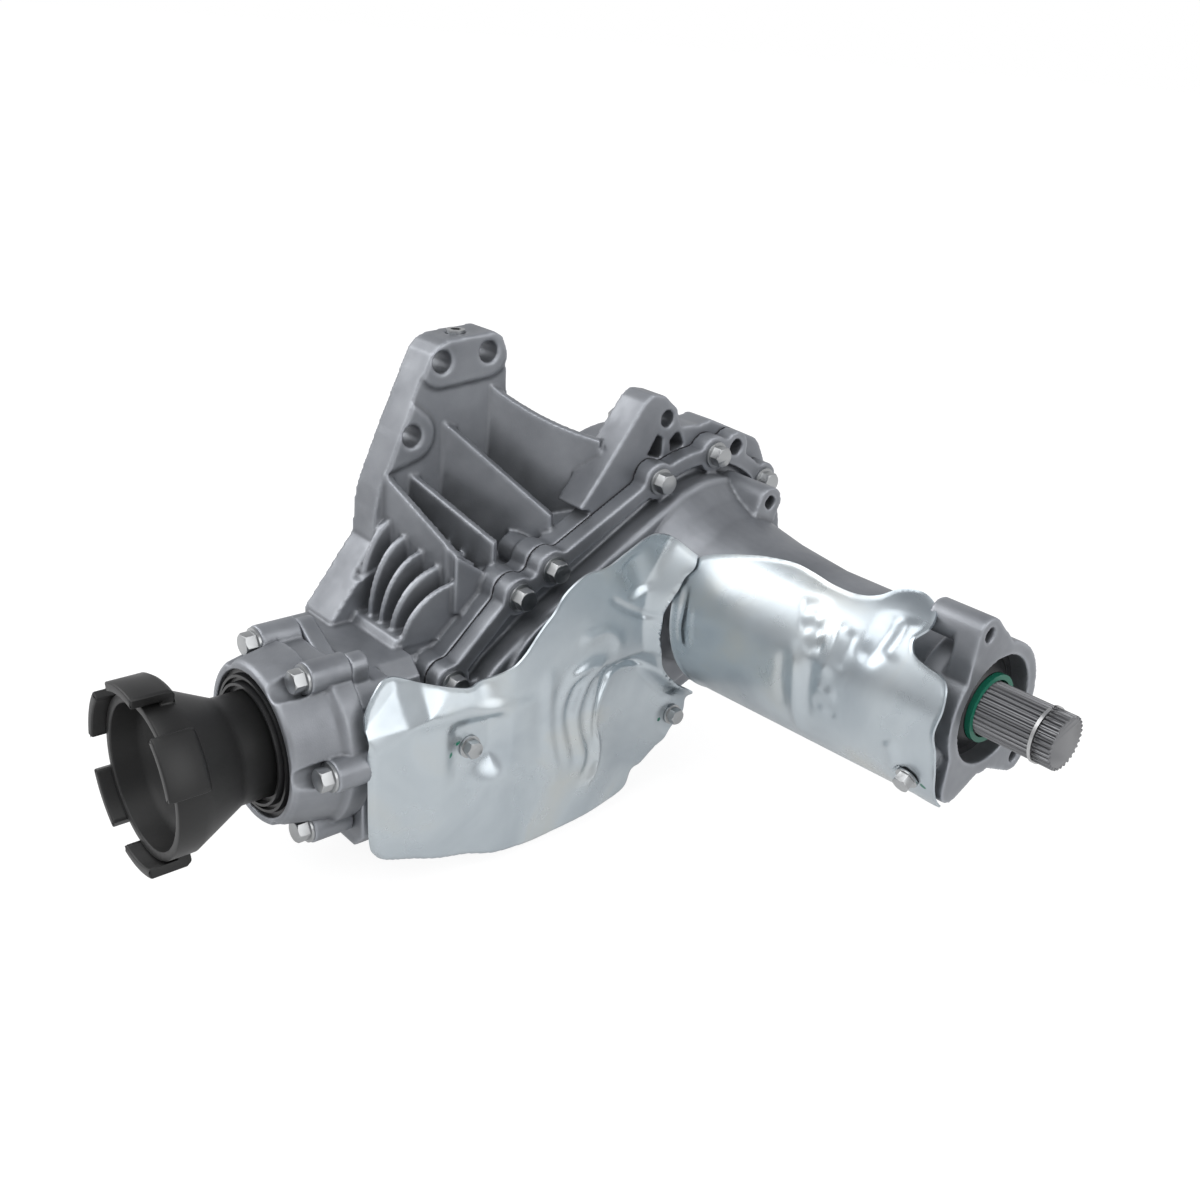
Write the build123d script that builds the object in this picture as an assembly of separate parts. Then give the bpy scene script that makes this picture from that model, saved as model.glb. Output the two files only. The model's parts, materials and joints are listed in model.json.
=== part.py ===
from build123d import *
import math
import os

# A transfer case (power transfer unit) with two parallel shafts along X and a bevel pinion along Y.
# Millimetres, Z up. The origin is on the input axis, in the face that meets the transmission.
# The input axis is the X axis, and the output flange looks along -Y.

# Gear train
spur_module = 2.5
input_teeth = 50
transfer_teeth = 43
bevel_module = 2.75
ring_teeth = 33
pinion_teeth = 20
pressure_angle = 20.0
flank_gap = 0.3
bevel_gap = 0.4
gear_face_width = 16.0
bevel_face_width = 13.0
transfer_drop = 50.0
pinion_x = 66.0
web_thickness = 7.0
ring_back = 5.7
ring_reach = 1.12

# Housing stations along X
rear_wall = 8.0
split_x = 88.0
gasket_thickness = 0.6
cover_flange = 11.4
case_flange = 14.0
cover_skin = 4.6
case_wall = 6.0
rear_chamfer = 7.0
side_room = 2.0

# Outline of the split flange: the cavity's circles as (y, z, radius); the transfer one follows from the gears
input_cavity_r = 66.5
transfer_cavity_r = 58.0
nose_top = (-136.0, -8.0, 12.5)
nose_tip = (-166.0, -36.0, 12.5)
bolt_line_out = 8.5
flange_out = 12.8
rim_in = 3.0
lobe_r = 11.5
lobe_blend = 5.0
groove_line_out = 5.6
groove_width = 1.1
groove_depth = 0.8

# Fasteners
m8_r = 4.0
m8_hole_r = 4.5
m8_tap_r = 4.1
bolt_head_flat = 11.5
bolt_head_height = 6.5
bolt_flange_r = 8.2
bolt_flange_height = 1.6
cover_bolt_shank = 20.5
cover_tap_depth = 10.0
boss_length = 30.0
boss_r = 9.5
m6_r = 3.0
m6_tap_r = 3.1
shield_bolt_length = 16.0

# Bearings: bore radius, outer radius and width
input_bearing = (27.0, 42.0, 13.0)
transfer_bearing = (17.5, 31.0, 13.0)
head_bearing = (17.5, 31.0, 16.0)
tail_bearing = (17.5, 33.5, 15.0)
tube_bearing = (17.5, 31.0, 14.0)
race_share = 0.3
race_gap = 0.3
bearing_start_x = 3.0
input_front_x = 100.0
tube_bearing_x = 285.0
seat_gap = 0.05

# Shafts
input_bore_r = 19.0
input_seat_r = 30.0
input_spline_tip_r = 26.0
input_spline_root_r = 24.0
input_spline_end = -9.0
input_stub = 24.0
transfer_hub_r = 24.0
inner_shaft_r = 17.4
inner_spline_tip_r = 15.2
inner_spline_root_r = 13.6
inner_spline_teeth = 30
spline_start_x = 319.0
spline_end_x = 365.0
snap_ring_x = 353.0
snap_ring_width = 2.0
shaft_left_end = -34.0

# Right cover: drum, trumpet cone and tube
drum_r = 62.5
drum_x = 109.0
drum_wall = 4.0
drum_round = 2.5
cone_shoulder_r = 52.0
cone_shoulder_x = 122.0
cone_middle_r = 46.0
cone_middle_x = 137.0
cone_end_r = 40.5
cone_end_x = 167.0
tube_r = 36.6
tube_taper_x = 205.0
tube_bore_r = 31.0
tube_end_x = 323.0
end_ring_r = 38.6
end_ring_length = 28.0
bulge_x = 112.0
tube_room_r = 30.0
cone_room = (48.0, 122.0)
cone_room_end_x = 160.0
transfer_boss_x = 123.0

# Pinion nose and its cover
nose_face_y = -250.0
nose_left_x = -4.0
nose_right_x = 109.0
nose_top_z = -13.0
nose_foot_z = -112.0
nose_corner = 9.0
recess_y = -228.0
recess_x = 94.0
shelf_top_z = -48.0
shelf_end_y = -203.0
barrel_r = 37.0
head_bearing_y = -206.0
stem_r = 18.9
stem_bore_r = 19.6
oil_room_r = 34.0
cover_plate = 12.0
pinion_bolt_circle = 52.0
pinion_bolt_seat = 24.0
pinion_bolt_count = 6
pinion_bolt_depth = 9.0
pinion_boss_r = 9.0
nose_boss_r = 7.2
pinion_cover_r = 54.0
pinion_cover_top = 45.0
seal_face_y = -292.0
seal_rim_r = 44.4
output_seal_r = 41.0
output_seal_depth = 10.0

# Output flange with its castellated rim
neck_r = 29.5
neck_bore_r = 17.5
flare_start_y = -308.0
flare_end_y = -338.0
flare_end_r = 44.0
rim_y = -352.0
claw_y = -358.5
claw_r = 51.5
claw_thickness = 5.0
claw_angles = (33, 96, 158, 218, 273)
claw_width = 37.0
cup_wall = 5.0

# Pinion stem and its nut
pinion_seat_r = 17.5
pinion_thread_r = 12.0
pinion_thread_start = 317.0
pinion_thread_end = 338.0
output_nut_flat = 34.0
output_nut_flange_r = 21.0
output_nut_height = 14.0
output_nut_flange = 2.0
spacer_r = 20.6

# Plugs, dowels and vent
dowel_r = 3.0
dowel_length = 16.0
plug_r = 9.0
plug_boss_r = 13.5
plug_head_r = 12.5
plug_head_height = 4.0
plug_length = 8.0
plug_socket_flat = 10.0
drain_x = 38.0
fill_x = 46.0
fill_angle = -22.0
vent_x = 52.0
vent_y = -30.5
vent_seat_z = 70.0
vent_r = 4.0
vent_cap_r = 7.5
vent_cap_lift = 13.0

# Mount plate at the upper left
plate_thickness = 23.0
pad_height = 2.0
plate_hole_r = 6.45
plate_holes = ((-145.4, 131.0), (-112.9, 133.9), (-165.0, 90.0))
plate_pad_r = 15.0
plate_plug_spot = (12.0, -128.0)
plate_plug_r = 5.5
plate_plug_top = 146.0
plate_plug_length = 13.0
plate_outline = ((-222, -11), (-205, 10.7), (-198, 20), (-190, 30), (-189, 48), (-186.5, 60), (-174.4, 88.7),
                 (-157.8, 125), (-152.5, 136), (-147, 141), (-141, 143.5), (-109, 145.5), (-103, 142), (-99.5, 134),
                 (-97.4, 112), (-92, 20), (-120, -60), (-190, -60), (-215, -40))
shoulder_outline = ((-178, 20), (-205, 10.7), (-222, -11), (-222, -33), (-178, -33))
shoulder_width = 30.0
step_outline = ((-160, -6), (-206, -8), (-213, -18), (-160, -18))

# Long ribs from the plate to the split flange: y and top at each end, foot, thickness and sag of the top
long_ribs = ((-181, 70, -164, 32, -20, 5, 0), (-163, 67, -141, 38, -20, 5, 0), (-140, 95, -100, 47, -10, 6, 0),
             (-107, 113, -66, 88, 10, 6, 4))

# Curved cooling fins between the outer rib and the nose pad, and small gussets between the two outer ribs
fin_count = 5
fin_start_x = 27.0
fin_pitch = 11.5
fin_thickness = 3.4
fin_front_y = -203.0
fin_top = 44.0
fin_top_drop = 6.3
gusset_count = 5
gusset_start_x = 40.0
gusset_pitch = 9.0
gusset_thickness = 2.4
gusset_tops = ((-170, 44), (-150, 30))
gusset_top_drop = 2.0

# Lug and ear on the split flange: outline, hole centres and pockets as (y, z)
lug_outline = ((-90, 52), (-77, 68), (-44, 111), (-38, 115), (-28, 113), (-17, 104), (-12, 92), (4, 91), (14, 93),
               (57, 75), (62, 70), (76, 44), (70, 20), (0, 30))
lug_thickness = 22.0
lug_hole = (-24.5, 98.4)
ear_hole = (26.5, 76.5)
lug_hole_r = 5.2
ear_lobe_r = 10.0
lug_pockets = (((-31.8, 89.4), (-26.8, 86.8), (-26.8, 74.0), (-39.0, 77.4)),
               ((-15.2, 89.0), (-12.0, 87.3), (-8.0, 79.4), (-19.6, 76.4), (-20.8, 84.6)))
pocket_depth = 17.0
pocket_round = 1.2

# Heat shields
shield_sheet = 1.2
shield_back_x = 117.0
shield_face_x = 129.0
shield_bend = 8.0
shield_circles = ((-243, -25, 17), (-243, -92, 17), (-180, -99, 31), (-118, -83, 50), (-52, -78, 29), (-45, 40, 40))
shield_top_edge = ((-275, 2), (-245, -6), (-229, -7), (-188.6, -14.9), (-171.5, -8.7), (-151.6, 23), (-137.7, 32),
                   (-123.3, 36.9), (-93.3, 42), (-66, 40))
dome_start_x = 124.0
dome_end_x = 154.0
dome_start_r = 77.0
dome_end_r = 64.5
dome_angles = (147.0, 262.0)
tube_shield_start_x = 144.0
tube_shield_end_x = 325.0
tube_shield_end_r = 58.0
tube_shield_angles = (124.0, 246.0)
tube_shield_corner_angle = 134.0
tube_shield_notch_x = 297.0
tube_shield_notch_angle = 147.0
shield_bolt_spots = ((-195.0, -52.5), (-38.0, -80.5))
tube_bolt_x = 311.0
tube_bolt_angle = 210.0
shield_boss_r = 7.0

# Small parts
shim_thickness = 0.5
spigot_r = 60.0
spigot_length = 6.0
o_ring_r = 1.0
end_ears = ((51.8, 112, 32.0), (50.0, -50, 18.0), (46.0, -123, 24.0))
end_ear_r = 9.5
cover_boss = (20.5, 52.6)
cover_boss_r = 9.8
cover_boss_x = 138.0
cover_boss_tap = 18.0
cover_gusset_x = 172.0
cover_gusset_thickness = 6.0

transfer_z = -transfer_drop
centre_distance = spur_module * (input_teeth + transfer_teeth) / 2
transfer_y = -math.sqrt(centre_distance ** 2 - transfer_drop ** 2)
ring_r = bevel_module * ring_teeth / 2
pinion_r = bevel_module * pinion_teeth / 2
cover_start = split_x + gasket_thickness
cover_face = cover_start + cover_flange
gear_x = bearing_start_x + input_bearing[2] + side_room
outline_circles = ((0, 0, input_cavity_r), nose_top, nose_tip, (transfer_y, transfer_z, transfer_cavity_r))
ring_room = (transfer_y, transfer_z, 52.0)
pinion_room = (-139.0, transfer_z, 32.0)
drum_circles = ((0, 0, drum_r), (*pinion_room[:2], pinion_room[2] + drum_wall),
                (*ring_room[:2], ring_room[2] + drum_wall))
low = (Align.CENTER, Align.CENTER, Align.MIN)

# Each line is a frame whose local Z runs along a shaft
input_line = Plane.YZ.location
transfer_line = Plane((0, transfer_y, transfer_z), x_dir=(0, 1, 0), z_dir=(1, 0, 0)).location
pinion_line = Plane((pinion_x, 0, transfer_z), x_dir=(1, 0, 0), z_dir=(0, -1, 0)).location

drain_line = Plane((drain_x, transfer_y, transfer_z - transfer_cavity_r - case_wall - 1.5),
                   x_dir=(1, 0, 0), z_dir=(0, 0, -1)).location
fill_turn = math.radians(fill_angle)
fill_r = input_cavity_r + case_wall + 2.5
fill_line = Plane((fill_x, fill_r * math.cos(fill_turn), fill_r * math.sin(fill_turn)), x_dir=(1, 0, 0),
                  z_dir=(0, math.cos(fill_turn), math.sin(fill_turn))).location
vent_line = Plane((vent_x, vent_y, vent_seat_z), x_dir=(1, 0, 0), z_dir=(0, 0, 1)).location
plate_plug_line = Plane((*plate_plug_spot, plate_plug_top), x_dir=(1, 0, 0), z_dir=(0, 0, 1)).location
tube_bolt_turn = math.radians(tube_bolt_angle)
tube_bolt_line = Plane((tube_bolt_x, 0, 0), x_dir=(1, 0, 0),
                       z_dir=(0, math.cos(tube_bolt_turn), math.sin(tube_bolt_turn))).location


cover_gusset_plane = Plane((0, 0, 0), x_dir=(1, 0, 0), z_dir=(0, cover_boss[1], -cover_boss[0])).location


def rod(line, radius, start, end, at=(0, 0)):
    """A cylinder along a line's local Z, from start to end."""
    return line * Pos(at[0], at[1], start) * Cylinder(radius, end - start, align=low)


def ring(line, outer, inner, start, end, at=(0, 0)):
    """A tube along a line's local Z."""
    return rod(line, outer, start, end, at) - rod(line, inner, start, end, at)


def turned(line, points):
    """A solid of revolution from (radius, station) points."""
    face = Plane.XZ * make_face(Polyline(*points, close=True))
    return line * revolve(face, Axis.Z)


def polar(radius, degrees, centre=(0, 0)):
    """The point at a radius and angle from a centre."""
    turn = math.radians(degrees)
    return (centre[0] + radius * math.cos(turn), centre[1] + radius * math.sin(turn))


def between(face, start, end):
    """A (y, z) outline as a solid between two stations along X."""
    return extrude(Plane.YZ.offset(start) * face, amount=end - start)


def plate(points, start, end):
    """A flat piece from (y, z) points, between two stations along X."""
    return between(make_face(Polyline(*points, close=True)), start, end)


def hull(circles, grow):
    """The outline stretched round circles given as (y, z, radius), each grown by the same amount."""
    rounds = [Pos(y, z) * Circle(radius + grow) for y, z, radius in circles]
    return make_hull([edge for item in rounds for edge in item.edges()])


def slab(circles, grow, start, end):
    """A hull of circles as a slab between two stations along X."""
    return between(hull(circles, grow), start, end)


def along_run(index, share):
    """A point on one straight run of the bolt line, by the share of its length."""
    first_y, first_z, first_cavity = outline_circles[index]
    last_y, last_z, last_cavity = outline_circles[(index + 1) % len(outline_circles)]
    first = first_cavity + bolt_line_out
    last = last_cavity + bolt_line_out
    span = math.hypot(last_y - first_y, last_z - first_z)
    heading = math.degrees(math.atan2(last_z - first_z, last_y - first_y))
    normal = heading - math.degrees(math.acos((first - last) / span))
    begin = polar(first, normal, (first_y, first_z))
    finish = polar(last, normal, (last_y, last_z))
    return tuple(a + share * (b - a) for a, b in zip(begin, finish))


def round_bolt(index, angle):
    """A point on one round of the bolt line, by its angle."""
    centre_y, centre_z, cavity = outline_circles[index]
    return polar(cavity + bolt_line_out, angle, (centre_y, centre_z))


def cover_bolt_places():
    """The bolt centres round the split flange, as (y, z)."""
    places = [round_bolt(0, angle) for angle in (84, 42, -4, -46)]
    places += [along_run(0, share) for share in (0.04, 0.75, 0.96)]
    places += [round_bolt(2, 162), along_run(2, 0.85)]
    places.append(round_bolt(3, 245))
    places += [along_run(3, share) for share in (0.02, 0.45, 0.9)]
    return places


def spots(places, radius):
    """Equal circles at (y, z) places."""
    return Sketch() + [Pos(y, z) * Circle(radius) for y, z in places]


def flange_outline():
    """The split flange's outline, with a blended lobe round each bolt and round the ear's hole."""
    face = hull(outline_circles, flange_out) + spots(cover_bolt_places(), lobe_r) + spots([ear_hole], ear_lobe_r)
    face = offset(face, lobe_blend, kind=Kind.ARC)
    return offset(face, -lobe_blend, kind=Kind.ARC)


def gear_outline(module, teeth, shift):
    """A spur gear's outline with involute flanks, one tooth centred at the angle shift."""
    pitch_r = module * teeth / 2
    base_r = pitch_r * math.cos(math.radians(pressure_angle))
    tip_r = pitch_r + module
    root_r = pitch_r - 1.25 * module
    pitch_half = math.pi / (2 * teeth) - flank_gap / pitch_r
    pitch_roll = math.tan(math.radians(pressure_angle)) - math.radians(pressure_angle)

    def half_angle(radius):
        slope = math.acos(min(1.0, base_r / radius))
        return math.degrees(pitch_half + pitch_roll - (math.tan(slope) - slope))

    points = []
    for tooth in range(teeth):
        middle = shift + 360 * tooth / teeth
        for radius in (root_r, pitch_r, tip_r):
            points.append(polar(radius, middle - half_angle(radius)))
        for radius in (tip_r, pitch_r, root_r):
            points.append(polar(radius, middle + half_angle(radius)))
    return make_face(Polyline(*points, close=True))


def spur_gear(line, module, teeth, shift, start, bore_r, hub_r):
    """A gear with a thinner web between its rim and its hub."""
    rim_r = module * teeth / 2 - 3.5 * module
    recess = (gear_face_width - web_thickness) / 2
    body = extrude(gear_outline(module, teeth, shift), amount=gear_face_width)
    body -= rod(Location(), bore_r, 0, gear_face_width)
    body -= ring(Location(), rim_r, hub_r, 0, recess)
    body -= ring(Location(), rim_r, hub_r, gear_face_width - recess, gear_face_width)
    return line * Pos(0, 0, start) * body


def bevel_teeth(module, teeth, mate_teeth, shift, share):
    """A bevel gear's outline in the plane through its pitch circle, scaled by share to the apex."""
    pitch_r = module * teeth / 2
    cone = math.atan2(teeth, mate_teeth)
    apex = pitch_r / math.tan(cone)
    slope = math.tan(math.radians(pressure_angle))
    points = []

    def row(height):
        radius = pitch_r + height * math.cos(cone)
        seen = radius * apex / (apex - height * math.sin(cone))
        half = (math.pi * module / 4 - bevel_gap - height * slope) / radius
        return seen * share, math.degrees(half)

    for tooth in range(teeth):
        middle = shift + 360 * tooth / teeth
        for height in (-1.25 * module, 0, module):
            radius, half = row(height)
            points.append(polar(radius, middle - half))
        for height in (module, 0, -1.25 * module):
            radius, half = row(height)
            points.append(polar(radius, middle + half))
    return Polyline(*points, close=True)


def bevel_gear(module, teeth, mate_teeth, shift, reach=1.0):
    """Bevel teeth with the apex at the local origin and the large end up along local Z."""
    pitch_r = module * teeth / 2
    apex = module * mate_teeth / 2
    share = 1 - bevel_face_width / math.hypot(pitch_r, apex)
    large = Pos(0, 0, apex * reach) * make_face(bevel_teeth(module, teeth, mate_teeth, shift, reach))
    small = Pos(0, 0, apex * share) * make_face(bevel_teeth(module, teeth, mate_teeth, shift, share))
    return loft([small, large], ruled=True)


def splined(line, tip_r, root_r, teeth, start, end):
    """A splined length with straight-sided teeth and a small chamfer at its free end."""
    points = []
    for tooth in range(teeth):
        middle = 360 * tooth / teeth
        step = 360 / teeth
        points.append(polar(root_r, middle - 0.33 * step))
        points.append(polar(tip_r, middle - 0.17 * step))
        points.append(polar(tip_r, middle + 0.17 * step))
        points.append(polar(root_r, middle + 0.33 * step))
    body = extrude(make_face(Polyline(*points, close=True)), amount=end - start)
    return line * Pos(0, 0, start) * body


def flange_bolt(radius, length, scale=1.0):
    """A hexagon bolt with a flange: its seat is at local Z 0 and its shank points down."""
    height = bolt_head_height * scale
    head = extrude(RegularPolygon(bolt_head_flat * scale / 2, 6, major_radius=False), amount=height)
    head &= Cone(bolt_head_flat * scale / 2 + height, bolt_head_flat * scale / 2, height, align=low)
    head = Pos(0, 0, bolt_flange_height * scale) * head
    head += Cylinder(bolt_flange_r * scale, bolt_flange_height * scale, align=low)
    return head + Pos(0, 0, -length) * Cylinder(radius, length, align=low)


def web(start, end, start_top, end_top, bottom, thickness, sag=0.0):
    """An upright rib between two (x, y) points, with its own top height at each end."""
    run = Vector(end[0] - start[0], end[1] - start[1], 0)
    length = run.length
    along = Plane((start[0], start[1], 0), x_dir=run, z_dir=(run.Y, -run.X, 0))
    if sag:
        top = ThreePointArc((0, start_top), (length / 2, (start_top + end_top) / 2 - sag), (length, end_top))
    else:
        top = Line((0, start_top), (length, end_top))
    sides = Polyline((length, end_top), (length, bottom), (0, bottom), (0, start_top))
    return extrude(along * make_face([top, *sides.edges()]), amount=thickness / 2, both=True)


def bearing(line, sizes, start):
    """The outer race and the inner race with its rolling set, as two pieces."""
    bore, outer, width = sizes
    thick = (outer - bore) * race_share
    cup = ring(line, outer - seat_gap, outer - thick, start, start + width)
    cone = ring(line, bore + thick, bore + seat_gap, start, start + width)
    inset = 1.5
    cone += ring(line, outer - thick - race_gap, bore + thick / 2, start + inset, start + width - inset)
    return cup, cone


def block(x_range, y_range, z_range):
    """A box between two values on each axis."""
    low_corner = (x_range[0], y_range[0], z_range[0])
    return Pos(*low_corner) * Box(x_range[1] - x_range[0], y_range[1] - y_range[0], z_range[1] - z_range[0],
                                  align=(Align.MIN, Align.MIN, Align.MIN))


def mount_plate():
    """The upright plate: one raised pad round its two upper holes, and one round the lower hole."""
    body = plate(plate_outline, 0, plate_thickness)
    first, second, third = plate_holes
    reach = 4 * plate_pad_r
    upper = [Pos(*first) * Circle(plate_pad_r), Pos(*second) * Circle(plate_pad_r),
             Pos(*polar(reach, 100, first)) * Circle(plate_pad_r), Pos(*polar(reach, 80, second)) * Circle(plate_pad_r)]
    lower = [Pos(*third) * Circle(plate_pad_r), Pos(*polar(reach, 140, third)) * Circle(plate_pad_r),
             Pos(*polar(reach, 195, third)) * Circle(plate_pad_r)]
    face = make_face(Polyline(*plate_outline, close=True))
    for rounds in (upper, lower):
        pad = make_hull([edge for item in rounds for edge in item.edges()])
        body += between(face & pad, plate_thickness - 1, plate_thickness + pad_height)
    return body


def pinion_nose():
    """The squared nose with a flat top pad; behind its right part a deep recess reaches to the flange."""
    heights = (nose_foot_z, nose_top_z)
    front = block((nose_left_x, nose_right_x), (nose_face_y, recess_y), heights)
    body = chamfer(front.edges().filter_by(Axis.Y), nose_corner)
    neck = block((nose_left_x, recess_x), (recess_y, head_bearing_y + 2), heights)
    body += chamfer(neck.edges().filter_by(Axis.Y), nose_corner)
    root = block((nose_left_x, split_x - case_flange + 2), (head_bearing_y + 1, -165), heights)
    body += chamfer(root.edges().filter_by(Axis.Y), nose_corner)
    body += block((recess_x - nose_corner, nose_right_x - nose_corner), (recess_y - 1, shelf_end_y),
                  (nose_foot_z + nose_corner, shelf_top_z))
    body += rod(pinion_line, barrel_r, -head_bearing_y - 2, -nose_face_y)
    for place in pinion_bolt_places():
        arm = make_hull((Pos(*place) * Circle(nose_boss_r)).edges() + Circle(barrel_r - 4).edges())
        body += pinion_line * Pos(0, 0, -nose_face_y - pinion_bolt_depth - 2) * extrude(
            arm, amount=pinion_bolt_depth + 2)
    return body


def main_case():
    """The case: gear room, split flange, mount plate with its ribs, and the pinion nose."""
    body = slab(outline_circles, case_wall, 0, split_x - case_flange)
    body = chamfer(body.faces().sort_by(Axis.X)[0].edges(), rear_chamfer)
    body += between(flange_outline(), split_x - case_flange, split_x)
    body += mount_plate()
    body += pinion_nose()
    body += plate(lug_outline, split_x - lug_thickness, split_x)

    # Shoulder between the mount plate and the nose, and the step under the fins
    body += plate(shoulder_outline, 0, shoulder_width)
    body += plate(step_outline, 0, split_x - case_flange)

    # Long ribs from the mount plate to the top of the case
    rib_start = plate_thickness - 1
    rib_end = split_x - case_flange + 1
    for start_y, start_top, end_y, end_top, foot, thickness, sag in long_ribs:
        body += web((rib_start, start_y), (rib_end, end_y), start_top, end_top, foot, thickness, sag)

    # Curved cooling fins: quarter ellipses that start at the outer rib
    rib_slope = (long_ribs[0][2] - long_ribs[0][0]) / (rib_end - rib_start)
    for fin in range(fin_count):
        fin_x = fin_start_x + fin_pitch * fin
        root_y = long_ribs[0][0] + rib_slope * (fin_x - rib_start)
        reach = root_y - fin_front_y
        height = fin_top - fin_top_drop * fin - nose_top_z
        profile = Pos(root_y, nose_top_z) * Ellipse(reach, height)
        profile &= Pos(root_y - reach / 2, nose_top_z + height / 2) * Rectangle(reach, height)
        body += between(profile, fin_x - fin_thickness / 2, fin_x + fin_thickness / 2)

    # Small gussets between the two outer ribs
    (front_y, front_top), (rear_y, rear_top) = gusset_tops
    for gusset in range(gusset_count):
        middle = gusset_start_x + gusset_pitch * gusset
        drop = gusset_top_drop * gusset
        body += plate([(front_y, 0), (front_y, front_top - drop), (rear_y, rear_top - drop), (rear_y, 0)],
                      middle - gusset_thickness / 2, middle + gusset_thickness / 2)

    # Bolt bosses behind the flange, spigot, plug bosses and vent seat
    for place in cover_bolt_places():
        body += rod(input_line, boss_r, split_x - boss_length, split_x, place)
    body += rod(input_line, spigot_r, -spigot_length, 1)
    body -= ring(input_line, spigot_r + 1, spigot_r - 2 * o_ring_r, -4.2, -1.8)
    body += rod(drain_line, plug_boss_r, -14, 0)
    body += rod(fill_line, plug_boss_r, -14, 0)
    body += rod(vent_line, 8, -45, 0)

    # Gear room with the bearing bosses that stand in it
    body -= slab(outline_circles, 0, rear_wall, split_x)
    body += ring(input_line, input_bearing[1] + 7, input_bearing[1], rear_wall - 1, gear_x - side_room)
    body += ring(transfer_line, transfer_bearing[1] + 7, transfer_bearing[1], rear_wall - 1, gear_x - side_room)

    # Bores: input bearing and seal, transfer bearing, pinion stem, its bearing and the oil room
    body -= rod(input_line, input_bearing[1], bearing_start_x, gear_x)
    body -= rod(input_line, input_bearing[1] - 6, -7, bearing_start_x + 1)
    body -= rod(transfer_line, transfer_bearing[1], bearing_start_x, gear_x)
    body -= rod(pinion_line, stem_bore_r, 150, -nose_face_y)
    body -= rod(pinion_line, head_bearing[1], -head_bearing_y, -nose_face_y)
    body -= rod(pinion_line, oil_room_r, -head_bearing_y + head_bearing[2], -nose_face_y)

    # Fastener holes
    for place in cover_bolt_places():
        body -= rod(input_line, m8_tap_r, split_x - cover_tap_depth, split_x, place)
    for place in pinion_bolt_places():
        body -= rod(pinion_line, m8_tap_r, -nose_face_y - pinion_bolt_depth, -nose_face_y, place)
    for place in plate_holes:
        body -= rod(input_line, plate_hole_r, 0, plate_thickness + pad_height, place)
    for place in (lug_hole, ear_hole):
        body -= rod(input_line, lug_hole_r, split_x - lug_thickness, split_x, place)
    for corners in lug_pockets:
        window = make_face(Polyline(*corners, close=True))
        body -= between(fillet(window.vertices(), pocket_round), split_x - pocket_depth, split_x)
    body -= plate_plug_line * Pos(0, 0, -plate_plug_length) * Cylinder(
        plate_plug_r + seat_gap, 2 * plate_plug_length, align=low)

    # Dowel holes, plug holes and the breather hole
    for place in dowel_places():
        body -= rod(input_line, dowel_r + seat_gap, split_x - dowel_length / 2, split_x, place)
    body -= rod(drain_line, plug_r + 0.1, -30, 0)
    body -= rod(fill_line, plug_r + 0.1, -30, 0)
    body -= rod(vent_line, vent_r + seat_gap, -12, 0)
    body -= rod(vent_line, vent_r / 2, -45, 0)
    return body


def pinion_bolt_places():
    """The bolt centres round the pinion nose, in the pinion line's own axes."""
    return [polar(pinion_bolt_circle, 60 * index) for index in range(pinion_bolt_count)]


def dowel_places():
    """The two dowels that place the cover on the case, as (y, z)."""
    return [along_run(0, 0.4), round_bolt(3, 262)]


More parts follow.
